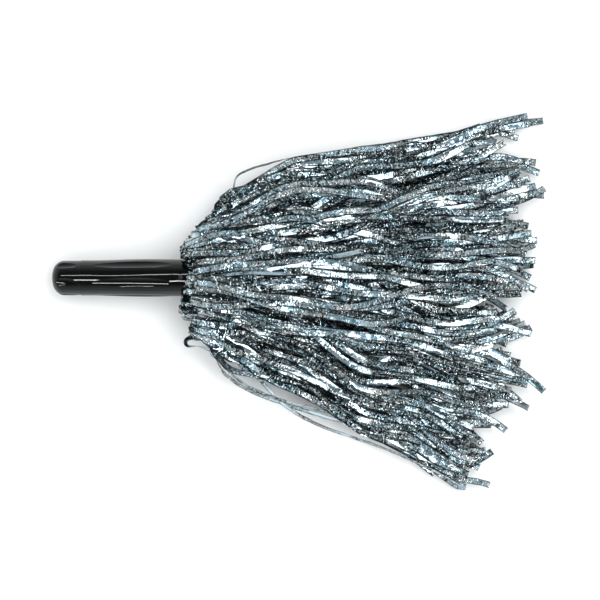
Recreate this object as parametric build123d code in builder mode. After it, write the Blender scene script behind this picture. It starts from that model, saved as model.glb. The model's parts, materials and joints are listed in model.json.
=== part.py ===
"""Cheer pom pom lying on a table: a hollow fluted handle with a bunch of metallised film streamers.

Frame: millimetres, +Z up, floor at z = 0, +X from the pommel of the handle to the streamer tips.
The origin is the centre of the base of the bounding box.
"""

import math
import os

from build123d import *

# ---------------------------------------------------------------- driving dimensions
overall_length = 392.0
overall_width = 293.0

handle_length = 117.0
pommel_radius = 13.7
ring_radius = 14.0
belly_radius = 14.8
mouth_radius = 14.1
pommel_flat_radius = 4.8
pommel_corner_radius = pommel_radius - pommel_flat_radius
bore_radius = 11.4
pommel_wall = 4.0
ring_start, ring_end = 23.0, 33.0
ring_step = ring_radius - pommel_radius
belly_position = 68.0
handle_tilt = 6.0
mouth_chamfer = 0.6

flute_count = 6
flute_turn = 15.0
grip_flute_chord, grip_flute_depth, grip_flute_tube = 79.0, 1.5, 8.0
grip_flute_centre = 60.0
pommel_flute_chord, pommel_flute_depth, pommel_flute_tube = 22.0, 1.2, 6.5
pommel_flute_centre = 10.0

snap_hole_radius = 2.0
snap_boss_radius = 1.85
snap_boss_root = 10.0
snap_boss_reach = 13.1
snap_positions = ((104.0, 0.0), (110.0, 90.0))

plug_radius = 11.3
collar_radius = 13.4
plug_depth = 20.0
plug_core_radius = 7.5
plug_floor = 3.0
collar_thickness = 2.0
stem_radius = 4.0
stem_length = 20.0
button_radius = 7.5
button_thickness = 2.0

header_names = ("inner", "middle", "outer")
header_thickness = 2.0
header_width = 18.0
header_gap = 0.15
tape_thickness = 0.5
tape_width = 12.0
wire_radius = 0.5
wire_turns = 3
wire_twist_length = 7.0

# The pile of streamers, by distance from the mouth of the handle:
# distance, reach to the left of the handle, reach to the right, height of the pile.
pile_stations = (
    (-14.0, 31.0, 35.0, 60.0),
    (-6.0, 38.0, 47.0, 63.0),
    (2.0, 46.0, 50.0, 65.0),
    (14.0, 64.0, 64.0, 66.0),
    (30.0, 77.0, 77.0, 64.0),
    (50.0, 86.0, 90.0, 59.0),
    (74.0, 96.0, 104.0, 53.0),
    (140.0, 107.0, 134.0, 39.0),
    (205.0, 129.0, 164.0, 26.0),
    (290.0, 129.0, 164.0, 17.0),
)
pile_side_share = 0.25
pile_shoulder = (0.62, 0.80)
# The uneven front of the fan, as points of the plan from the left side to the right.
tip_curve = ((182.4, 160.0), (194.4, 60.0), (191.9, -40.0), (170.4, -110.0), (126.4, -160.0))

crown_radius = 33.0
crown_height = 31.0
crown_ahead = 6.0
crown_foot = 22.0
crown_count = 6
crown_names = ("top", "upper_right", "lower_right", "bottom", "lower_left", "upper_left")
sleeve_clearance = 1.0

sector_names = ("right_outer", "right_inner", "centre", "left_inner", "left_outer")
sector_edges = (-1.2, -0.62, -0.22, 0.22, 0.62, 1.2)
raised_sectors = ("right_inner", "centre", "left_inner")
bottom_share = (22.0, 5.5)
middle_share = (44.0, 11.0)
layer_gap = 0.6
sector_gap = 3.2
hinge_gap = 0.7

# ---------------------------------------------------------------- places worked out from them
tilt = math.radians(handle_tilt)
forward = Vector(math.cos(tilt), 0, math.sin(tilt))
upward = Vector(-math.sin(tilt), 0, math.cos(tilt))
rightward = Vector(0, -1, 0)
handle_y = (pile_stations[-1][2] - pile_stations[-1][1]) / 2
pommel_centre = Vector(
    -overall_length / 2 + pommel_flat_radius * math.sin(tilt),
    handle_y,
    pommel_corner_radius * (1 - math.sin(tilt)) + pommel_flat_radius * math.cos(tilt),
)
mouth_centre = pommel_centre + forward * handle_length
handle_axis = Axis(pommel_centre, forward)
handle_side = Plane(origin=pommel_centre, x_dir=forward, z_dir=rightward)
handle_end = Plane(origin=pommel_centre, x_dir=upward, z_dir=forward)
hinge_x = mouth_centre.X + crown_ahead
crown_front = hinge_x + math.sqrt(crown_radius**2 - (crown_height - crown_foot) ** 2)
pile_end = mouth_centre.X + pile_stations[-1][0]
headers_start = handle_length + collar_thickness + (stem_length - header_width) / 2
headers_radius = stem_radius + header_gap + len(header_names) * (header_thickness + header_gap)

os.makedirs("parts", exist_ok=True)


def finish_piece(builder, name):
    """Labels a finished piece and writes its STEP file."""
    builder.part.label = name
    export_step(builder.part, f"parts/{name}.step")


def outward_at(turn):
    """Direction away from the handle's axis, turned by so many degrees from straight up to the right."""
    angle = math.radians(turn)
    return upward * math.cos(angle) + rightward * math.sin(angle)


def cut_flutes(centre, chord, depth, tube, surface_radius):
    """Cuts a ring of leaf-shaped flutes, each by the outer edge of a large torus along the handle.

    The chord is the length that the arc has at the surface radius, where the flute is deepest.
    """
    arc_radius = chord**2 / (8 * depth) + depth / 2
    reach = surface_radius - depth + arc_radius
    places = []
    for number in range(flute_count):
        outward = outward_at(flute_turn + number * 360 / flute_count)
        origin = pommel_centre + forward * centre + outward * reach
        places.append(Plane(origin=origin, x_dir=outward, z_dir=forward.cross(outward)))
    with Locations(*places):
        Torus(arc_radius - tube, tube, mode=Mode.SUBTRACT)


# ---------------------------------------------------------------- handle
with BuildPart() as handle_grip:
    with BuildSketch(handle_side):
        with BuildLine():
            Line((0, 0), (0, pommel_flat_radius))
            RadiusArc(
                (0, pommel_flat_radius), (pommel_corner_radius, pommel_radius), pommel_corner_radius
            )
            Polyline(
                (pommel_corner_radius, pommel_radius),
                (ring_start - ring_step, pommel_radius),
                (ring_start, ring_radius),
                (ring_end, ring_radius),
            )
            Spline(
                (ring_end, ring_radius),
                (belly_position, belly_radius),
                (handle_length, mouth_radius),
                tangents=((1, 0), (1, -0.02)),
            )
            Line((handle_length, mouth_radius), (handle_length, 0))
            Line((handle_length, 0), (0, 0))
        make_face()
    revolve(axis=handle_axis)
    cut_flutes(grip_flute_centre, grip_flute_chord, grip_flute_depth, grip_flute_tube, belly_radius)
    cut_flutes(pommel_flute_centre, pommel_flute_chord, pommel_flute_depth, pommel_flute_tube, pommel_radius)
    with BuildSketch(handle_side):
        with BuildLine():
            bore_corner = bore_radius - pommel_flat_radius
            Polyline(
                (handle_length, 0),
                (pommel_wall, 0),
                (pommel_wall, pommel_flat_radius),
            )
            RadiusArc(
                (pommel_wall, pommel_flat_radius),
                (pommel_wall + bore_corner, bore_radius),
                bore_corner,
            )
            Polyline(
                (pommel_wall + bore_corner, bore_radius),
                (handle_length - mouth_chamfer, bore_radius),
                (handle_length, bore_radius + mouth_chamfer),
                (handle_length, 0),
            )
        make_face()
    revolve(axis=handle_axis, mode=Mode.SUBTRACT)
    for position, turn in snap_positions:
        hole_centre = pommel_centre + forward * position
        with BuildSketch(Plane(origin=hole_centre, x_dir=forward, z_dir=outward_at(turn))):
            Circle(snap_hole_radius)
        extrude(amount=2 * ring_radius, both=True, mode=Mode.SUBTRACT)
finish_piece(handle_grip, "handle_grip")

# ---------------------------------------------------------------- plug in the mouth
with BuildPart() as core_plug:
    with BuildSketch(handle_side):
        collar_end = handle_length + collar_thickness
        stem_end = collar_end + stem_length
        with BuildLine():
            Polyline(
                (handle_length - plug_depth, plug_core_radius),
                (handle_length - plug_depth, plug_radius),
                (handle_length, plug_radius),
                (handle_length, collar_radius),
                (collar_end, collar_radius),
                (collar_end, stem_radius),
                (stem_end, stem_radius),
                (stem_end, button_radius),
                (stem_end + button_thickness, button_radius),
                (stem_end + button_thickness, 0),
                (handle_length - plug_floor, 0),
                (handle_length - plug_floor, plug_core_radius),
                close=True,
            )
        make_face()
    revolve(axis=handle_axis)
    for position, turn in snap_positions:
        for side in (0, 180):
            outward = outward_at(turn + side)
            boss_start = pommel_centre + forward * position + outward * snap_boss_root
            with BuildSketch(Plane(origin=boss_start, x_dir=forward, z_dir=outward)):
                Circle(snap_boss_radius)
            extrude(amount=snap_boss_reach - snap_boss_root)
finish_piece(core_plug, "core_plug")

# ---------------------------------------------------------------- film headers, tape and tie
for number, name in enumerate(header_names):
    inside = stem_radius + header_gap + number * (header_thickness + header_gap)
    with BuildPart() as header:
        with BuildSketch(handle_end.offset(headers_start)):
            Circle(inside + header_thickness)
            Circle(inside, mode=Mode.SUBTRACT)
        extrude(amount=header_width)
    finish_piece(header, f"film_header_{name}")

with BuildPart() as binding_tape:
    with BuildSketch(handle_end.offset(headers_start + (header_width - tape_width) / 2)):
        Circle(headers_radius + tape_thickness)
        Circle(headers_radius, mode=Mode.SUBTRACT)
    extrude(amount=tape_width)
finish_piece(binding_tape, "binding_tape")

with BuildPart() as tie_wire:
    wire_centre_radius = headers_radius + tape_thickness + wire_radius + header_gap
    wire_middle = headers_start + header_width / 2
    for turn in range(wire_turns):
        along = wire_middle + (turn - (wire_turns - 1) / 2) * wire_radius * 1.8
        with Locations(handle_end.offset(along)):
            Torus(wire_centre_radius, wire_radius)
    twist_radius = 1.6 * wire_radius
    twist_height = wire_centre_radius + twist_radius - wire_radius
    twist_start = handle_end.offset(wire_middle).from_local_coords((twist_height, 0, 0))
    with BuildSketch(Plane(origin=twist_start, x_dir=upward, z_dir=forward)):
        Circle(twist_radius)
    extrude(amount=wire_twist_length)
finish_piece(tie_wire, "tie_wire")

# ---------------------------------------------------------------- pile of streamers
pile_section = Plane(origin=(mouth_centre.X, handle_y, 0), x_dir=(0, 1, 0), z_dir=(1, 0, 0))
across, up = pile_shoulder
with BuildPart() as pile:
    for distance, left, right, height in pile_stations:
        edge = height * pile_side_share
        with BuildSketch(pile_section.offset(distance)):
            with BuildLine():
                Line((-right, 0), (left, 0))
                Line((left, 0), (left, edge))
                Spline(
                    (left, edge),
                    (left * across, height * up),
                    (0, height),
                    (-right * across, height * up),
                    (-right, edge),
                )
                Line((-right, edge), (-right, 0))
            make_face()
    loft(ruled=True)
    with BuildSketch(Plane.XY):
        with BuildLine():
            Spline(*tip_curve)
            Polyline(
                tip_curve[-1],
                (-overall_length, tip_curve[-1][1]),
                (-overall_length, tip_curve[0][1]),
                tip_curve[0],
            )
        make_face()
    extrude(amount=overall_length, mode=Mode.INTERSECT)


def sector_side(share, inset):
    """Points of one side of a sector: a share of the pile's reach, moved sideways by the inset."""
    points = []
    for distance, left, right, _ in pile_stations[1:]:
        reach = left if share > 0 else right
        points.append((mouth_centre.X + distance, handle_y + share * reach + inset))
    return points


def make_tail(low_share, high_share, side_points, cut_radius):
    """A block of streamer tails: one sector of the fan and one layer of the pile, clear of the crown."""
    low_side = sector_side(low_share, sector_gap / 2)
    high_side = sector_side(high_share, -sector_gap / 2)
    with BuildPart() as tail:
        with BuildSketch(Plane.XY):
            with BuildLine():
                Spline(*low_side)
                Line(low_side[-1], high_side[-1])
                Spline(*high_side)
                Line(high_side[0], low_side[0])
            make_face()
        extrude(amount=overall_length)
        with BuildSketch(Plane.XZ):
            with BuildLine():
                Polyline(*side_points, close=True)
            make_face()
            if cut_radius:
                with Locations((hinge_x, crown_height)):
                    Circle(cut_radius, mode=Mode.SUBTRACT)
        extrude(amount=overall_width, both=True, mode=Mode.INTERSECT)
        add(pile.part, mode=Mode.INTERSECT)
    return tail


# ---------------------------------------------------------------- crown of loops round the mouth
with BuildPart() as crown:
    with BuildSketch(Plane.XZ):
        with Locations((hinge_x, crown_height)):
            Circle(crown_radius)
        with BuildLine():
            Polyline(
                (crown_front, 0),
                (crown_front, crown_foot),
                (hinge_x - crown_radius / 2, crown_foot),
                (hinge_x - crown_radius / 2, 0),
                close=True,
            )
        make_face()
        with Locations((hinge_x, -crown_radius)):
            Rectangle(3 * crown_radius, 2 * crown_radius, mode=Mode.SUBTRACT)
    extrude(amount=overall_width, both=True)
    add(pile.part, mode=Mode.INTERSECT)
    with BuildSketch(handle_side):
        sleeve_end = handle_length + collar_thickness + sleeve_clearance
        core_end = sleeve_end + stem_length + button_thickness
        core_radius = wire_centre_radius + 2 * wire_radius + sleeve_clearance
        with BuildLine():
            Polyline(
                (handle_length / 2, 0),
                (handle_length / 2, belly_radius + sleeve_clearance),
                (sleeve_end, belly_radius + sleeve_clearance),
                (sleeve_end, core_radius),
                (core_end, core_radius),
                (core_end, 0),
                close=True,
            )
        make_face()
    revolve(axis=handle_axis, mode=Mode.SUBTRACT)

half_spread = overall_width * math.tan(math.radians(180 / crown_count))
for number, name in enumerate(crown_names):
    outward = outward_at(number * 360 / crown_count)
    wedge_plane = Plane(origin=pommel_centre + forward * handle_length / 2, x_dir=outward, z_dir=forward)
    with BuildPart() as loops:
        with BuildSketch(wedge_plane):
            with BuildLine():
                Polyline(
                    (layer_gap, 0),
                    (layer_gap + overall_width, -half_spread),
                    (layer_gap + overall_width, half_spread),
                    close=True,
                )
            make_face()
        extrude(amount=handle_length)
        add(crown.part, mode=Mode.INTERSECT)
    finish_piece(loops, f"crown_loops_{name}")

# ---------------------------------------------------------------- tails
bottom_start, bottom_tip = bottom_share
middle_start, middle_tip = middle_share
for number, name in enumerate(sector_names):
    low_share, high_share = sector_edges[number : number + 2]
    bottom = make_tail(
        low_share,
        high_share,
        (
            (crown_front + hinge_gap, 0),
            (pile_end, 0),
            (pile_end, bottom_tip),
            (crown_front + hinge_gap, bottom_start),
        ),
        0,
    )
    finish_piece(bottom, f"bottom_tails_{name}")
    raised = name in raised_sectors
    cover_start, cover_tip = (middle_start, middle_tip) if raised else (overall_width, overall_width)
    middle_layer = make_tail(
        low_share,
        high_share,
        (
            (hinge_x, bottom_start + layer_gap),
            (crown_front, bottom_start + layer_gap),
            (pile_end, bottom_tip + layer_gap),
            (pile_end, cover_tip),
            (crown_front, cover_start),
            (hinge_x, cover_start),
        ),
        crown_radius + hinge_gap,
    )
    finish_piece(middle_layer, f"middle_tails_{name}")
    if raised:
        top_layer = make_tail(
            low_share,
            high_share,
            (
                (hinge_x + crown_radius / 3, middle_start + layer_gap),
                (crown_front, middle_start + layer_gap),
                (pile_end, middle_tip + layer_gap),
                (pile_end, overall_width),
                (hinge_x + crown_radius / 3, overall_width),
            ),
            crown_radius + hinge_gap,
        )
        finish_piece(top_layer, f"top_tails_{name}")
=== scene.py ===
import json
import math

import bpy
import numpy as np
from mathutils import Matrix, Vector


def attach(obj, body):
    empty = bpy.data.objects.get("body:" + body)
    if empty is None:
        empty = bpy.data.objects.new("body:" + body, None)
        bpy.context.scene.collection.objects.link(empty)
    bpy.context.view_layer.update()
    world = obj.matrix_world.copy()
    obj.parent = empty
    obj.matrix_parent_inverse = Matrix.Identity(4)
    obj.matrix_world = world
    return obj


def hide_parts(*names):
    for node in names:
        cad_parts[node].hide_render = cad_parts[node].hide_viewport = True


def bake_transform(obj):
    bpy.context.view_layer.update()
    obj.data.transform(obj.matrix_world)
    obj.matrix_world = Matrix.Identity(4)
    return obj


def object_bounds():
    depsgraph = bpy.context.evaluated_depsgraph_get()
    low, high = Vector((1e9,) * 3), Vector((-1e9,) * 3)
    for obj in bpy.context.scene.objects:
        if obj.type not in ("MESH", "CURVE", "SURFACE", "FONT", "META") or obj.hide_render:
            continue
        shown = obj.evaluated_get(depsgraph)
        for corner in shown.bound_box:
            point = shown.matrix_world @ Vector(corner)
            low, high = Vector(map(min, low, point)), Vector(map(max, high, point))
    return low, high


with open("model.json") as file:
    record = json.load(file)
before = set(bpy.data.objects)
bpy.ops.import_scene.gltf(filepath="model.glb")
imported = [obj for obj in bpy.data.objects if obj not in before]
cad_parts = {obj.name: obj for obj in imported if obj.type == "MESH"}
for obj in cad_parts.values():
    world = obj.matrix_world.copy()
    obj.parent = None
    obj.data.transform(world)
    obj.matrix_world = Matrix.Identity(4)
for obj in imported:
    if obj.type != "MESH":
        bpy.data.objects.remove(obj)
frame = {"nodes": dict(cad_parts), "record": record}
CAD_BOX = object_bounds()

RNG = np.random.default_rng(20240)

# ---------------------------------------------------------------- places read from the frame
mounts = {m["name"]: m for m in frame["record"]["mounts"]}
RING = np.array(mounts["handle_ring"]["pos_m"])
FORWARD = -np.array(mounts["handle_ring"]["axis"])
grip_points = np.array([v.co for v in frame["nodes"]["handle_grip"].data.vertices])
MOUTH = RING + FORWARD * ((grip_points - RING) @ FORWARD).max()

# ---------------------------------------------------------------- driving dimensions, metres
STRIP_WIDTH = 0.0055
STRIP_THICKNESS = 0.00016
ROW_STEP = 0.0012
SPAN_POINTS = 14
# How far the strips' lines are from the handle's axis: in the header, over the rim, and at least behind it.
HEADER_RADIUS = 0.0095
RIM_RADIUS = 0.0180
HANDLE_CLEAR_RADIUS = 0.0168
# The hollow across a strip and how it wanders, and the fine crinkle of its edges and its middle.
CUP, CUP_WANDER, CUP_PACE = (0.0001, 0.0006), 0.00016, 20
CRINKLE, CRINKLE_PACE = 0.00012, 3
# How far the UVs of the strips of a piece are moved apart, so that their looks differ. The first figure is a
# whole number of widths, so that the painted shade along the film's edges stays at the edges.
STRIP_SHIFT = (24 * STRIP_WIDTH, 0.5)

# The pile by distance from the mouth: distance, reach to the left, reach to the right, height.
PILE = np.array([
    (-0.0200, 0.012, 0.015, 0.056),
    (-0.0145, 0.018, 0.029, 0.060),
    (-0.0100, 0.030, 0.034, 0.062),
    (-0.0070, 0.035, 0.046, 0.063),
    (0.0020, 0.044, 0.048, 0.065),
    (0.0100, 0.049, 0.056, 0.065),
    (0.0140, 0.063, 0.059, 0.065),
    (0.0230, 0.069, 0.065, 0.065),
    (0.0360, 0.071, 0.068, 0.063),
    (0.0450, 0.077, 0.077, 0.060),
    (0.0600, 0.087, 0.085, 0.056),
    (0.0740, 0.094, 0.090, 0.053),
    (0.0950, 0.098, 0.101, 0.048),
    (0.1270, 0.104, 0.123, 0.042),
    (0.1460, 0.106, 0.131, 0.038),
    (0.1660, 0.110, 0.140, 0.034),
    (0.2040, 0.116, 0.166, 0.026),
    (0.2400, 0.125, 0.169, 0.022),
    (0.2900, 0.129, 0.170, 0.017),
])
CROWN_END = 0.036
PILE_END = PILE[-1, 0]
# The rows that outline the crown, and its back end by distance aside: over the handle it is further forward.
CROWN_ROWS = slice(1, 9)
CROWN_BACK = ((0.010, 0.017), (-0.0105, -0.0145))
# A knuckle, where a strip turns forward: its place aside as a share of the tail's, the rise that is its unit
# of height (above the mouth's centre and below it), and its points, from the foot to the top. Each has its
# distance ahead, its share of the place aside, and its height from the top in rises.
KNUCKLE_ASIDE = 0.84
KNUCKLE_RISE = (0.011, -0.005)
KNUCKLE = ((0.004, 0.84, -1.4), (0.000, 0.97, -0.6), (0.005, 1.03, 0.0))
# The levels between the three layers, at the crown's end and at the pile's end.
LAYER_STARTS = (0.022, 0.044)
LAYER_TIPS = (0.0055, 0.011)
FLOOR_GAP = 0.0012
# The distances from the mouth at which the random sways and lifts are drawn.
PLACES = np.arange(-0.05, 0.33, 0.002)

# Each sector of the fan, as shares of the pile's half width: -1 is its right edge and 1 its left edge.
SECTORS = {
    "right_outer": (-1.0, -0.62),
    "right_inner": (-0.62, -0.22),
    "centre": (-0.22, 0.22),
    "left_inner": (0.22, 0.62),
    "left_outer": (0.62, 1.0),
}
STRIPS = {"bottom": (18, 18, 18, 18, 18), "middle": (28, 15, 14, 15, 26), "top": (0, 30, 34, 28, 0)}
LOCK = 3

# Where the tips end: share of the half width, distance from the mouth.
TIP_AT = (
    (-1.0, 0.200), (-0.88, 0.209), (-0.78, 0.217), (-0.63, 0.229), (-0.38, 0.234), (-0.17, 0.241),
    (0.0, 0.247), (0.35, 0.250), (0.5, 0.257), (0.62, 0.254), (0.7, 0.228), (0.85, 0.220),
    (0.95, 0.243), (1.0, 0.247),
)
TIP_LIMIT = CAD_BOX[1][0] - MOUTH[0] - 0.001

# How far the locks differ, and the strips within a lock. A pace is in points of the curve that it shapes.
LOCK_TIP, STRIP_TIP = 0.009, 0.007
LOCK_SWAY, LOCK_SWAY_PACE = 0.0062, 30
STRIP_SWAY, STRIP_SWAY_PACE = 0.0018, 20
LOCK_LIFT, LOCK_LIFT_PACE = 0.0018, 22
STRIP_LIFT, STRIP_LIFT_PACE = 0.0009, 12
LOCK_SLACK, STRIP_SLACK = (-0.002, 0.008), (0, 0.002)
FLARE, FLARE_RUN = 0.009, 0.055
# The level within a layer, from 0 to 1.
LOCK_LEVEL, STRIP_LEVEL = (0.15, 0.85), 0.14
# Sideways, in half widths: how the strips of a lock differ where they start and where they end, how far a
# lock drifts, and the share of the locks that drift far and cross their neighbours.
STRIP_START, STRIP_END, SECTOR_OVERLAP = 0.05, 0.06, 0.02
DRIFT, FAR_DRIFT, FAR_SHARE = 0.06, 0.22, 0.22
# The roll about a strip's own line, in radians, and the share of the strips that turn over once.
ROLL, ROLL_PACE, ROLL_SET = 0.22, 48, 0.14
TURNED_SHARE = 0.22

# Single strips that lie loose beside the mass. Each one has its block, its roll, its lift, and the places
# that it passes through, as the distance from the mouth and the distance to the left of the handle's axis.
LOOSE = (
    ("middle_left_outer", 1.4, 0.000, (
        (0.020, 0.060), (0.026, 0.068), (0.028, 0.078), (0.033, 0.083), (0.049, 0.089),
        (0.079, 0.096), (0.130, 0.101), (0.210, 0.110),
    )),
    ("middle_left_outer", 0.1, 0.004, (
        (0.030, 0.060), (0.080, 0.082), (0.130, 0.092), (0.180, 0.101), (0.223, 0.119), (0.261, 0.129),
    )),
    ("middle_left_outer", 0.2, 0.003, (
        (0.030, 0.057), (0.080, 0.079), (0.130, 0.089), (0.180, 0.098), (0.223, 0.115), (0.262, 0.123),
    )),
    ("middle_left_outer", 0.3, 0.006, (
        (0.030, 0.048), (0.080, 0.060), (0.130, 0.066), (0.170, 0.072), (0.204, 0.085), (0.242, 0.108),
    )),
    ("middle_right_outer", 1.1, 0.000, (
        (-0.002, -0.040), (0.005, -0.050), (0.012, -0.063), (0.020, -0.076), (0.037, -0.088),
        (0.064, -0.099), (0.115, -0.115), (0.160, -0.130), (0.206, -0.157),
    )),
    ("middle_right_outer", 1.2, 0.002, (
        (0.000, -0.038), (0.007, -0.048), (0.014, -0.061), (0.023, -0.074), (0.039, -0.086),
        (0.066, -0.097), (0.115, -0.110), (0.160, -0.126), (0.195, -0.140),
    )),
    ("middle_right_outer", 0.5, 0.002, (
        (0.008, -0.055), (0.015, -0.063), (0.026, -0.073), (0.055, -0.080), (0.110, -0.101), (0.180, -0.125),
    )),
    ("middle_right_outer", 1.0, 0.001, (
        (0.030, -0.066), (0.047, -0.080), (0.066, -0.100), (0.095, -0.117), (0.150, -0.137), (0.208, -0.164),
    )),
    ("middle_right_outer", 0.4, 0.001, (
        (0.002, -0.045), (-0.006, -0.047), (-0.011, -0.049), (-0.010, -0.054), (-0.002, -0.054),
        (0.012, -0.058), (0.040, -0.070), (0.090, -0.095), (0.180, -0.130),
    )),
)


# ---------------------------------------------------------------- shape of the pile
def pile_reach(distance, share):
    """Half width of the pile on the side of the share, at a distance from the mouth."""
    left = np.interp(distance, PILE[:, 0], PILE[:, 1])
    right = np.interp(distance, PILE[:, 0], PILE[:, 2])
    return np.where(share > 0, left, right)


def pile_top(distance, share):
    """Height of the pile's arched top."""
    return np.interp(distance, PILE[:, 0], PILE[:, 3]) * (1 - 0.75 * np.abs(share) ** 2.6)


def layer_band(layer, distance, share, raised):
    """Lowest and highest level of a layer of tails."""
    along = np.clip((distance - CROWN_END) / (PILE_END - CROWN_END), 0, 1)
    levels = [start + (tip - start) * along for start, tip in zip(LAYER_STARTS, LAYER_TIPS)]
    top = pile_top(distance, share)
    if layer == "bottom":
        return np.full_like(distance, FLOOR_GAP), np.minimum(levels[0], top)
    if layer == "middle":
        upper = np.minimum(levels[1], top) if raised else top
        return np.minimum(levels[0], upper - 0.001), upper
    return np.minimum(levels[1], top - 0.001), top


# ---------------------------------------------------------------- one strip of film
def spline(a, b, c, d, t):
    """The point at t, from 0 to 1, on the way from b to c of a smooth curve through all four."""
    bend = (2 * a - 5 * b + 4 * c - d) * t**2 + (3 * b - a - 3 * c + d) * t**3
    return 0.5 * (2 * b + (c - a) * t + bend)


def wander(count, amplitude, pace):
    """A smooth random curve of count values that changes direction about once per pace."""
    knots = int(count / pace) + 4
    values = RNG.normal(0, amplitude, knots)
    position = np.linspace(1, 1 + count / pace, count)
    index = position.astype(int)
    around = (values[np.clip(index + k, 0, knots - 1)] for k in (-1, 0, 1, 2))
    return spline(*around, position - index)


def through(points, per_span):
    """A smooth line through the points."""
    points = np.array(points)
    ends = np.vstack([2 * points[0] - points[1], points, 2 * points[-1] - points[-2]])
    t = np.linspace(0, 1, per_span, endpoint=False)[:, None]
    spans = [spline(*around, t) for around in zip(ends, ends[1:], ends[2:], ends[3:])]
    return np.vstack(spans + [points[-1:]])


def resample(line, step):
    """The same line with evenly spaced points."""
    run = np.concatenate([[0], np.cumsum(np.linalg.norm(np.diff(line, axis=0), axis=1))])
    where = np.arange(0, run[-1], step)
    return np.column_stack([np.interp(where, run, line[:, k]) for k in range(3)])


def smooth(line, passes):
    """Evens out a line, ends kept."""
    for _ in range(passes):
        line[1:-1] = 0.25 * line[:-2] + 0.5 * line[1:-1] + 0.25 * line[2:]
    return line


def unit(v):
    """The directions of the vectors, each of length one."""
    return v / np.maximum(np.linalg.norm(v, axis=-1, keepdims=True), 1e-9)


def ease_in(value, limit):
    """The value, held close to the limit where it would pass it."""
    return np.sign(value) * np.minimum(np.abs(value), limit + 0.15 * np.maximum(np.abs(value) - limit, 0))


def tail_line(layer, raised, shares, level):
    """A tail's points, from the end of the crown to beyond the tips, inside its layer."""
    distance = np.arange(CROWN_END, PILE_END + 0.02, 0.004)
    share = shares[0] + (shares[1] - shares[0]) * (distance - CROWN_END) / (PILE_END - CROWN_END)
    low, high = layer_band(layer, distance, share, raised)
    y = MOUTH[1] + share * pile_reach(distance, share)
    return np.column_stack([MOUTH[0] + distance, y, low + (high - low) * level])


def crown_line(join, share, slack):
    """The way from the header over the handle's rim, out to a knuckle of the crown and forward to a tail.

    Also gives the direction away from the handle's axis, in which the strip leaves the header.
    """
    away = unit(join[1:] - MOUTH[1:])
    # The knuckle turns on the crown's outline, give or take its slack.
    aside = KNUCKLE_ASIDE * (join[1] - MOUTH[1])
    reach = PILE[CROWN_ROWS, 1] if aside > 0 else PILE[CROWN_ROWS, 2]
    turn = np.interp(abs(aside), reach, PILE[CROWN_ROWS, 0])
    turn = max(turn, np.interp(abs(aside), *CROWN_BACK)) + slack
    height = join[2] / pile_top(CROWN_END, share) * pile_top(turn, share) * RNG.uniform(0.86, 1.0)
    rise = KNUCKLE_RISE[0] if height > MOUTH[2] else KNUCKLE_RISE[1]
    start = RNG.uniform(0.004, 0.018)
    over = min(0.5 * turn, 0) - 0.002
    level = MOUTH[2] + over * FORWARD[2]
    knots = [
        (start, away[0] * HEADER_RADIUS, MOUTH[2] + away[1] * HEADER_RADIUS),
        (start - 0.002, away[0] * 0.0150, MOUTH[2] + away[1] * 0.0150),
        (over, away[0] * RIM_RADIUS, level + away[1] * RIM_RADIUS),
    ]
    knots += [(turn + ahead, part * aside, height + up * rise) for ahead, part, up in KNUCKLE]
    # A long way to the tail needs one more point.
    if turn < 0.012:
        halfway = (turn + KNUCKLE[-1][0] + CROWN_END) / 2
        knots.append((halfway, aside + 0.5 * (join[1] - MOUTH[1] - aside), 0.5 * (height + join[2])))
    return [(MOUTH[0] + along, MOUTH[1] + y, z) for along, y, z in knots], away


def clear_of_handle(line):
    """Moves the points of a line that are behind the mouth out to the handle's outside."""
    distance = line[:, 0] - MOUTH[0]
    axis = np.column_stack([np.full(len(line), MOUTH[1]), MOUTH[2] + distance * FORWARD[2]])
    off = line[:, 1:] - axis
    radius = np.linalg.norm(off, axis=1, keepdims=True)
    push = np.where(distance[:, None] < 0.001, np.maximum(radius, HANDLE_CLEAR_RADIUS), radius)
    line[:, 1:] = axis + off / np.maximum(radius, 1e-6) * push
    return line


def strip_frames(line, away):
    """The directions along and across a strip: round the handle in the crown, and level in the tail."""
    along = unit(np.gradient(line, axis=0))
    round_handle = np.array([0, -away[1], away[0]])
    level = np.array([0, -1.0 if away[1] >= 0 else 1.0, 0])
    weight = np.clip((line[:, 0] - MOUTH[0] + 0.022) / 0.05, 0, 1)[:, None]
    weight = weight * weight * (3 - 2 * weight)
    across = round_handle * (1 - weight) + level * weight
    across = unit(across - along * np.sum(across * along, axis=1, keepdims=True))
    return across, np.cross(along, across)


def strip_section(line, away, roll):
    """The rows of six vertices of one closed ribbon that follows the line."""
    count = len(line)
    across, normal = strip_frames(line, away)
    c, s = np.cos(roll)[:, None], np.sin(roll)[:, None]
    across, normal = across * c + normal * s, normal * c - across * s
    cup = (RNG.uniform(*CUP) + wander(count, CUP_WANDER, CUP_PACE))[:, None]
    half, thick = STRIP_WIDTH / 2, STRIP_THICKNESS / 2
    rows = []
    for side in (-1, 0, 1):
        crinkle = wander(count, CRINKLE, CRINKLE_PACE)[:, None]
        middle = line + across * (side * half) + normal * (cup * (1 - abs(side)) + crinkle)
        rows.append((middle + normal * thick, middle - normal * thick))
    ring = [rows[0][0], rows[1][0], rows[2][0], rows[2][1], rows[1][1], rows[0][1]]
    section = np.stack(ring, axis=1)
    section[:, :, 2] = np.clip(section[:, :, 2], 0.0003, CAD_BOX[1][2])
    return section


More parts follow.
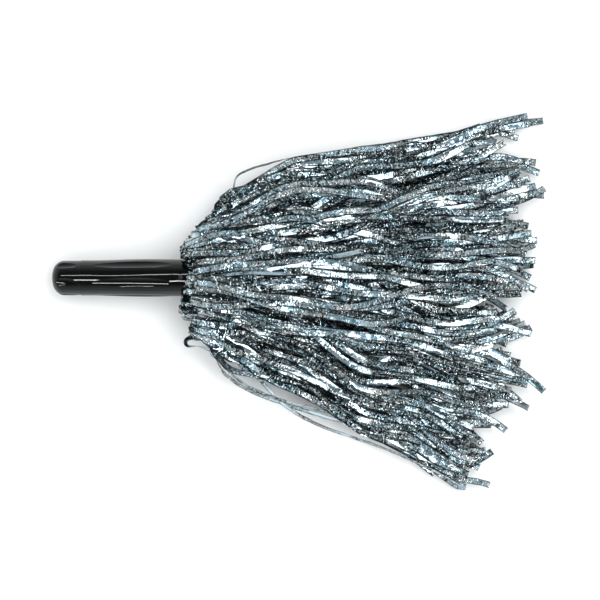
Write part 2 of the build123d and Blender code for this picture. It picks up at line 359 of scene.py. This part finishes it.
def make_piece(name, sections, material):
    """One mesh of many ribbons. Its UV map holds the distances across and along each strip, in metres."""
    corners, faces, uvs, base = [], [], [], 0
    u_row = np.array([0, 0.5, 1, 1, 0.5, 0]) * STRIP_WIDTH
    for number, section in enumerate(sections):
        count = len(section)
        corners.append(section.reshape(-1, 3))
        grid = base + np.arange(count * 6).reshape(count, 6)
        for k in range(6):
            n = (k + 1) % 6
            faces.append(np.stack([grid[:-1, k], grid[1:, k], grid[1:, n], grid[:-1, n]], axis=1))
        # Two quads close each end.
        for row, order in ((grid[0], (0, 1, 4, 5, 1, 2, 3, 4)), (grid[-1], (5, 4, 1, 0, 4, 3, 2, 1))):
            faces.append(row[list(order)].reshape(2, 4))
        u = np.tile(u_row, count) + number * STRIP_SHIFT[0]
        v = np.repeat(np.arange(count) * ROW_STEP, 6) + number * STRIP_SHIFT[1]
        uvs.append(np.column_stack([u, v]))
        base += count * 6
    corners, faces, uvs = np.vstack(corners), np.vstack(faces), np.vstack(uvs)
    mesh = bpy.data.meshes.new(name)
    mesh.vertices.add(len(corners))
    mesh.vertices.foreach_set("co", corners.ravel())
    mesh.loops.add(faces.size)
    mesh.loops.foreach_set("vertex_index", faces.ravel())
    mesh.polygons.add(len(faces))
    mesh.polygons.foreach_set("loop_start", np.arange(0, faces.size, 4))
    mesh.update(calc_edges=True)
    layer = mesh.uv_layers.new(name="film")
    layer.data.foreach_set("uv", uvs[faces.ravel()].ravel())
    # The long edges at the two sides of a ribbon are sharp.
    ends = np.empty(len(mesh.edges) * 2, int)
    mesh.edges.foreach_get("vertices", ends)
    ends = ends.reshape(-1, 2) % 6
    sharp = (ends[:, 0] == ends[:, 1]) & np.isin(ends[:, 0], (0, 2, 3, 5))
    mark = mesh.attributes.new("sharp_edge", "BOOLEAN", "EDGE")
    mark.data.foreach_set("value", sharp)
    mesh.materials.append(material)
    piece = bpy.data.objects.new(name, mesh)
    bpy.context.scene.collection.objects.link(piece)
    return piece


# ---------------------------------------------------------------- materials
def new_material(name):
    """A new material, its node tree and its shader."""
    material = bpy.data.materials.new(name)
    material.use_nodes = True
    return material, material.node_tree, material.node_tree.nodes["Principled BSDF"]


def mottle(tree, shader, scale, low, high):
    """Makes the roughness vary between low and high over the object, and returns the noise that does it."""
    place = tree.nodes.new("ShaderNodeTexCoord")
    noise = tree.nodes.new("ShaderNodeTexNoise")
    noise.inputs["Scale"].default_value = scale
    tree.links.new(place.outputs["Object"], noise.inputs["Vector"])
    rough = tree.nodes.new("ShaderNodeMapRange")
    rough.inputs["To Min"].default_value = low
    rough.inputs["To Max"].default_value = high
    tree.links.new(noise.outputs["Fac"], rough.inputs["Value"])
    tree.links.new(rough.outputs["Result"], shader.inputs["Roughness"])
    return noise


def film_material():
    """Metallised film: fine crumpled facets that come and go along each strip, on a slowly changing tone,
    with painted shade along each strip's long edges.
    """
    material, tree, shader = new_material("metallised_film")
    nodes, links = tree.nodes, tree.links
    shader.inputs["Metallic"].default_value = 1.0
    place = nodes.new("ShaderNodeUVMap")
    place.uv_map = "film"

    def laid(kind, across, along, scale=1.0):
        """A texture on the strips. Its coordinates run so many units per metre across and along them."""
        texture = nodes.new(kind)
        texture.inputs["Scale"].default_value = scale
        size = nodes.new("ShaderNodeMapping")
        size.inputs["Scale"].default_value = (across, along, 1)
        links.new(place.outputs["UV"], size.inputs["Vector"])
        links.new(size.outputs["Vector"], texture.inputs["Vector"])
        return texture

    def spread(source, least, most, low, high):
        """Maps a value from the first range to the second."""
        span = nodes.new("ShaderNodeMapRange")
        for socket, value in zip(("From Min", "From Max", "To Min", "To Max"), (least, most, low, high)):
            span.inputs[socket].default_value = value
        links.new(source, span.inputs["Value"])
        return span.outputs["Result"]

    tone = laid("ShaderNodeTexNoise", 20, 16)
    ramp = nodes.new("ShaderNodeValToRGB")
    stops = (
        (0.30, (0.22, 0.29, 0.31)),
        (0.45, (0.50, 0.54, 0.55)),
        (0.58, (0.46, 0.60, 0.67)),
        (0.70, (0.66, 0.67, 0.68)),
    )
    while len(ramp.color_ramp.elements) < len(stops):
        ramp.color_ramp.elements.new(0.5)
    for element, (position, colour) in zip(ramp.color_ramp.elements, stops):
        element.position = position
        element.color = (*colour, 1)
    links.new(tone.outputs["Fac"], ramp.inputs["Fac"])
    # Painted shade: within 0.9 mm of each strip's long edges the base colour falls to near black. It stands
    # in for the shadows in the gaps between ribbons.
    split = nodes.new("ShaderNodeSeparateXYZ")
    links.new(place.outputs["UV"], split.inputs["Vector"])
    from_edge = nodes.new("ShaderNodeMath")
    from_edge.operation = "PINGPONG"
    from_edge.inputs[1].default_value = STRIP_WIDTH / 2
    links.new(split.outputs["X"], from_edge.inputs[0])
    painted_edge_shade = nodes.new("ShaderNodeMix")
    painted_edge_shade.data_type = "RGBA"
    painted_edge_shade.inputs["A"].default_value = (0.03, 0.04, 0.044, 1)
    links.new(ramp.outputs["Color"], painted_edge_shade.inputs["B"])
    links.new(spread(from_edge.outputs["Value"], 0.0002, 0.0009, 0.0, 1.0), painted_edge_shade.inputs["Factor"])
    links.new(painted_edge_shade.outputs["Result"], shader.inputs["Base Color"])

    # The film is smooth where the noise of the patches is below the first figure, crumpled above the second.
    crumpled_from = (0.41, 0.50)
    patches = laid("ShaderNodeTexNoise", 20, 22)
    facets = laid("ShaderNodeTexVoronoi", 700, 1150)
    tilt = nodes.new("ShaderNodeNormalMap")
    tilt.uv_map = "film"
    links.new(facets.outputs["Color"], tilt.inputs["Color"])
    links.new(spread(patches.outputs["Fac"], *crumpled_from, 0.06, 0.72), tilt.inputs["Strength"])
    grain = laid("ShaderNodeTexNoise", 900, 900)
    links.new(spread(grain.outputs["Fac"], 0, 1, 0.04, 0.16), shader.inputs["Roughness"])
    ribs = laid("ShaderNodeTexWave", 1000, 1000, 0.2)
    ribs.bands_direction = "Y"
    ribs.inputs["Distortion"].default_value = 5.0
    ribs.inputs["Detail Scale"].default_value = 1.6
    crumple = spread(patches.outputs["Fac"], *crumpled_from, 0.05, 0.3)
    normal = tilt.outputs["Normal"]
    for height, depth in ((grain.outputs["Fac"], 0.0013), (ribs.outputs["Fac"], 0.0008)):
        bump = nodes.new("ShaderNodeBump")
        bump.inputs["Distance"].default_value = depth
        links.new(crumple, bump.inputs["Strength"])
        links.new(height, bump.inputs["Height"])
        links.new(normal, bump.inputs["Normal"])
        normal = bump.outputs["Normal"]
    links.new(normal, shader.inputs["Normal"])
    return material


def handle_material():
    """Polished black plastic with a faint unevenness."""
    material, tree, shader = new_material("glossy_black_plastic")
    shader.inputs["Base Color"].default_value = (0.0035, 0.004, 0.004, 1)
    shader.inputs["Specular IOR Level"].default_value = 0.35
    noise = mottle(tree, shader, 160, 0.02, 0.08)
    noise.inputs["Detail"].default_value = 4
    bump = tree.nodes.new("ShaderNodeBump")
    bump.inputs["Strength"].default_value = 0.12
    bump.inputs["Distance"].default_value = 0.0002
    tree.links.new(noise.outputs["Fac"], bump.inputs["Height"])
    tree.links.new(bump.outputs["Normal"], shader.inputs["Normal"])
    return material


def plain_material(name, colour, metallic, low, high, scale):
    """A small hidden part's material: its colour, and a roughness that varies a little."""
    material, tree, shader = new_material(name)
    shader.inputs["Base Color"].default_value = (*colour, 1)
    shader.inputs["Metallic"].default_value = metallic
    mottle(tree, shader, scale, low, high)
    return material


def dress(node, material):
    """Gives a CAD node its finished material."""
    mesh = frame["nodes"][node].data
    mesh.materials.clear()
    mesh.materials.append(material)


FILM = film_material()
dress("handle_grip", handle_material())
dress("core_plug", plain_material("matt_black_plastic", (0.002, 0.002, 0.002), 0, 0.4, 0.6, 300))
dress("binding_tape", plain_material("tape", (0.62, 0.6, 0.55), 0, 0.3, 0.45, 400))
dress("tie_wire", plain_material("bright_wire", (0.55, 0.55, 0.55), 1, 0.2, 0.35, 500))
ROLLED = plain_material("rolled_film", (0.55, 0.6, 0.62), 1, 0.2, 0.45, 900)
for wrap in ("inner", "middle", "outer"):
    dress(f"film_header_{wrap}", ROLLED)

# ---------------------------------------------------------------- streamers
# The crown blocks that each of these streamer pieces replaces, besides its tails.
CROWN_NODES = {
    "top_centre": ("crown_loops_top",),
    "top_left_inner": ("crown_loops_upper_left",),
    "top_right_inner": ("crown_loops_upper_right",),
    "middle_left_outer": ("crown_loops_lower_left",),
    "middle_right_outer": ("crown_loops_lower_right",),
    "bottom_centre": ("crown_loops_bottom",),
}


def loose_strip(turn, lift, places):
    """One loose strip: its ribbon and its length."""
    side = math.copysign(1, places[0][1])
    points = [
        (MOUTH[0] + 0.012, MOUTH[1] + side * HEADER_RADIUS, MOUTH[2]),
        (MOUTH[0] + 0.008, MOUTH[1] + side * 0.0160, MOUTH[2]),
    ]
    for distance, aside in places:
        height = np.interp(distance, (0.0, 0.1, 0.27), (0.022, 0.013, 0.005)) + lift
        points.append((MOUTH[0] + distance, MOUTH[1] + aside, height))
    line = smooth(resample(through(points, SPAN_POINTS), ROW_STEP), 4)
    roll = turn * np.clip(np.arange(len(line)) / 30 - 0.5, 0, 1) + wander(len(line), 0.12, 40)
    return strip_section(line, np.array([side, 0.0]), roll), len(line) * ROW_STEP


def draw_lock(sector, number, locks):
    """What the strips of one lock have in common: the lock with this number, of so many in the sector."""
    low_share, high_share = SECTORS[sector]
    return {
        "middle": low_share + (high_share - low_share) * (number + 0.5 + RNG.uniform(-0.3, 0.3)) / locks,
        "drift": RNG.normal(0, FAR_DRIFT if RNG.random() < FAR_SHARE else DRIFT),
        "level": RNG.uniform(*LOCK_LEVEL),
        "tip": RNG.normal(0, LOCK_TIP),
        "sway": wander(len(PLACES), LOCK_SWAY, LOCK_SWAY_PACE),
        "lift": wander(len(PLACES), LOCK_LIFT, LOCK_LIFT_PACE),
        "slack": RNG.uniform(*LOCK_SLACK),
    }


def lay_in_pile(line, lock, end_share):
    """Sways, lifts and flares a strip's line within the pile, and cuts it off at the strip's tip."""
    distance = line[:, 0] - MOUTH[0]
    # The crown holds a strip, and the thin end of the pile leaves it little room to lift.
    freedom = np.clip((distance + 0.02) / 0.05, 0.2, 1)
    thin = np.clip(pile_top(distance, 0) / 0.045, 0.35, 1)
    tip = min(np.interp(end_share, *zip(*TIP_AT)) + lock["tip"] + RNG.normal(0, STRIP_TIP), TIP_LIMIT)
    flare = RNG.normal(0, FLARE) * np.clip((distance - tip) / FLARE_RUN + 1, 0, 1) ** 2
    sway = lock["sway"] + wander(len(PLACES), STRIP_SWAY, STRIP_SWAY_PACE)
    lift = lock["lift"] + wander(len(PLACES), STRIP_LIFT, STRIP_LIFT_PACE)
    line[:, 1] += freedom * np.interp(distance, PLACES, sway) + flare
    aside = line[:, 1] - MOUTH[1]
    limit = pile_reach(distance, aside) + np.interp(distance, (0.02, 0.06), (-0.001, -0.0028))
    line[:, 1] = MOUTH[1] + ease_in(aside, limit)
    line[:, 2] += freedom * thin * np.interp(distance, PLACES, lift)
    line[:, 2] = np.maximum(line[:, 2], FLOOR_GAP)
    return line[: np.argmax(distance > tip)]


def draw_roll(line):
    """How a strip rolls about its line: it wanders, less so in the crown, and some strips turn over once."""
    rows = len(line)
    calm = np.clip((line[:, 0] - MOUTH[0] + 0.03) / 0.06, 0.3, 1)
    roll = calm * (wander(rows, ROLL, ROLL_PACE) + RNG.normal(0, ROLL_SET))
    if RNG.random() < TURNED_SHARE:
        turn_at = RNG.uniform(0.35, 0.95) * rows
        roll = roll + math.pi * RNG.choice((-1, 1)) / (1 + np.exp(-(np.arange(rows) - turn_at) / 5))
    return roll


def lock_strip(layer, sector, lock):
    """One strip of a lock: its ribbon and its length."""
    low_share, high_share = SECTORS[sector]
    raised = STRIPS["top"][list(SECTORS).index(sector)] > 0
    start = lock["middle"] + RNG.normal(0, STRIP_START)
    end = lock["middle"] + lock["drift"] + RNG.normal(0, STRIP_END)
    shares = np.clip((start, end), max(low_share - SECTOR_OVERLAP, -1), min(high_share + SECTOR_OVERLAP, 1))
    level = np.clip(lock["level"] + RNG.normal(0, STRIP_LEVEL), 0.03, 0.97)
    tail = tail_line(layer, raised, shares, level)
    crown, away = crown_line(tail[0], shares[0], lock["slack"] + RNG.uniform(*STRIP_SLACK))
    line = np.vstack([through(crown + [tail[0], tail[1]], SPAN_POINTS)[:-SPAN_POINTS], tail])
    line = smooth(clear_of_handle(resample(line, ROW_STEP)), 12)
    line = lay_in_pile(line, lock, shares[1])
    return strip_section(line, away, draw_roll(line)), len(line) * ROW_STEP


def make_streamers(layer, sector, count):
    """One block of streamers: locks of a few strips that run together, and the block's loose strips."""
    strips = []
    locks = math.ceil(count / LOCK)
    for number in range(locks):
        lock = draw_lock(sector, number, locks)
        for _ in range(min(LOCK, count - number * LOCK)):
            strips.append(lock_strip(layer, sector, lock))
    for block, turn, lift, places in LOOSE:
        if block == f"{layer}_{sector}":
            strips.append(loose_strip(turn, lift, places))
    sections, lengths = zip(*strips)
    name = f"streamers_{layer}_{sector}"
    piece = make_piece(name, sections, FILM)
    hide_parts(f"{layer}_tails_{sector}", *CROWN_NODES.get(f"{layer}_{sector}", ()))
    if layer == "bottom":
        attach(piece, "handle")
    else:
        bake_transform(piece)


for layer, counts in STRIPS.items():
    for sector, count in zip(SECTORS, counts):
        if count:
            make_streamers(layer, sector, count)

# ---------------------------------------------------------------- stage, light, camera
FLOOR_REACH = 6
floor_corners = [(x * FLOOR_REACH, y * FLOOR_REACH, 0) for x, y in ((-1, -1), (1, -1), (1, 1), (-1, 1))]
floor_mesh = bpy.data.meshes.new("floor")
floor_mesh.from_pydata(floor_corners, [], [(0, 1, 2, 3)])
floor = bpy.data.objects.new("floor", floor_mesh)
bpy.context.scene.collection.objects.link(floor)
floor_look, _, floor_shader = new_material("pale_floor")
floor_shader.inputs["Base Color"].default_value = (0.9, 0.9, 0.9, 1)
floor_shader.inputs["Roughness"].default_value = 0.9
floor_mesh.materials.append(floor_look)


def softbox(name, place, size, glow, colour, in_gloss=True, in_diffuse=True):
    """A rectangular light that faces the object, with its size along and across, and its brightness."""
    light = bpy.data.lights.new(name, "AREA")
    light.shape = "RECTANGLE"
    light.size, light.size_y = size
    light.energy = glow * math.pi * size[0] * size[1]
    light.color = colour
    lamp = bpy.data.objects.new(name, light)
    lamp.location = place
    lamp.rotation_euler = (-Vector(place)).to_track_quat("-Z", "Y").to_euler()
    lamp.visible_camera = False
    lamp.visible_glossy = in_gloss
    lamp.visible_diffuse = in_diffuse
    bpy.context.scene.collection.objects.link(lamp)


softbox("overhead", (0, 0, 3.0), (9.0, 9.0), 1.0, (1, 1, 1), in_gloss=False)
softbox("key", (0.5, 0.62, 1.5), (1.8, 0.50), 4.5, (1, 1, 1))
softbox("rim", (0.5, -0.85, 1.3), (1.6, 0.40), 3.5, (0.9, 0.97, 1))
softbox("blue", (0.4, 0.28, 1.6), (1.6, 0.18), 0.8, (0.35, 0.75, 0.95))
softbox("grey", (0.3, -0.30, 1.9), (2.0, 0.55), 0.4, (0.85, 0.95, 1))
# Two narrow lights that only reflections see, for the streaks along the handle.
softbox("streak_right", (-0.45, -0.55, 1.5), (0.9, 0.09), 36, (1, 1, 1), in_diffuse=False)
softbox("streak_left", (-0.45, 0.62, 1.5), (0.9, 0.06), 22, (0.95, 1, 0.95), in_diffuse=False)

# The sky is dim overhead, where it would veil the film, and pale all round near the floor.
world = bpy.data.worlds.new("studio")
world.use_nodes = True
sky, sky_links = world.node_tree.nodes, world.node_tree.links
direction = sky.new("ShaderNodeTexCoord")
height = sky.new("ShaderNodeSeparateXYZ")
sky_links.new(direction.outputs["Generated"], height.inputs["Vector"])
dome = sky.new("ShaderNodeValToRGB")
dome.color_ramp.elements[0].position = 0.25
dome.color_ramp.elements[0].color = (0.86, 0.9, 0.9, 1)
dome.color_ramp.elements[1].position = 0.72
dome.color_ramp.elements[1].color = (0.030, 0.040, 0.042, 1)
sky_links.new(height.outputs["Z"], dome.inputs["Fac"])
sky_links.new(dome.outputs["Color"], sky["Background"].inputs["Color"])
bpy.context.scene.world = world
bpy.context.scene.view_settings.view_transform = "Standard"

# The camera looks straight down, as in the photo.
lens = bpy.data.cameras.new("camera")
lens.lens = 120
lens.sensor_width = 36
camera = bpy.data.objects.new("camera", lens)
camera.location = (0, 0, 1.60)
bpy.context.scene.collection.objects.link(camera)
bpy.context.scene.camera = camera
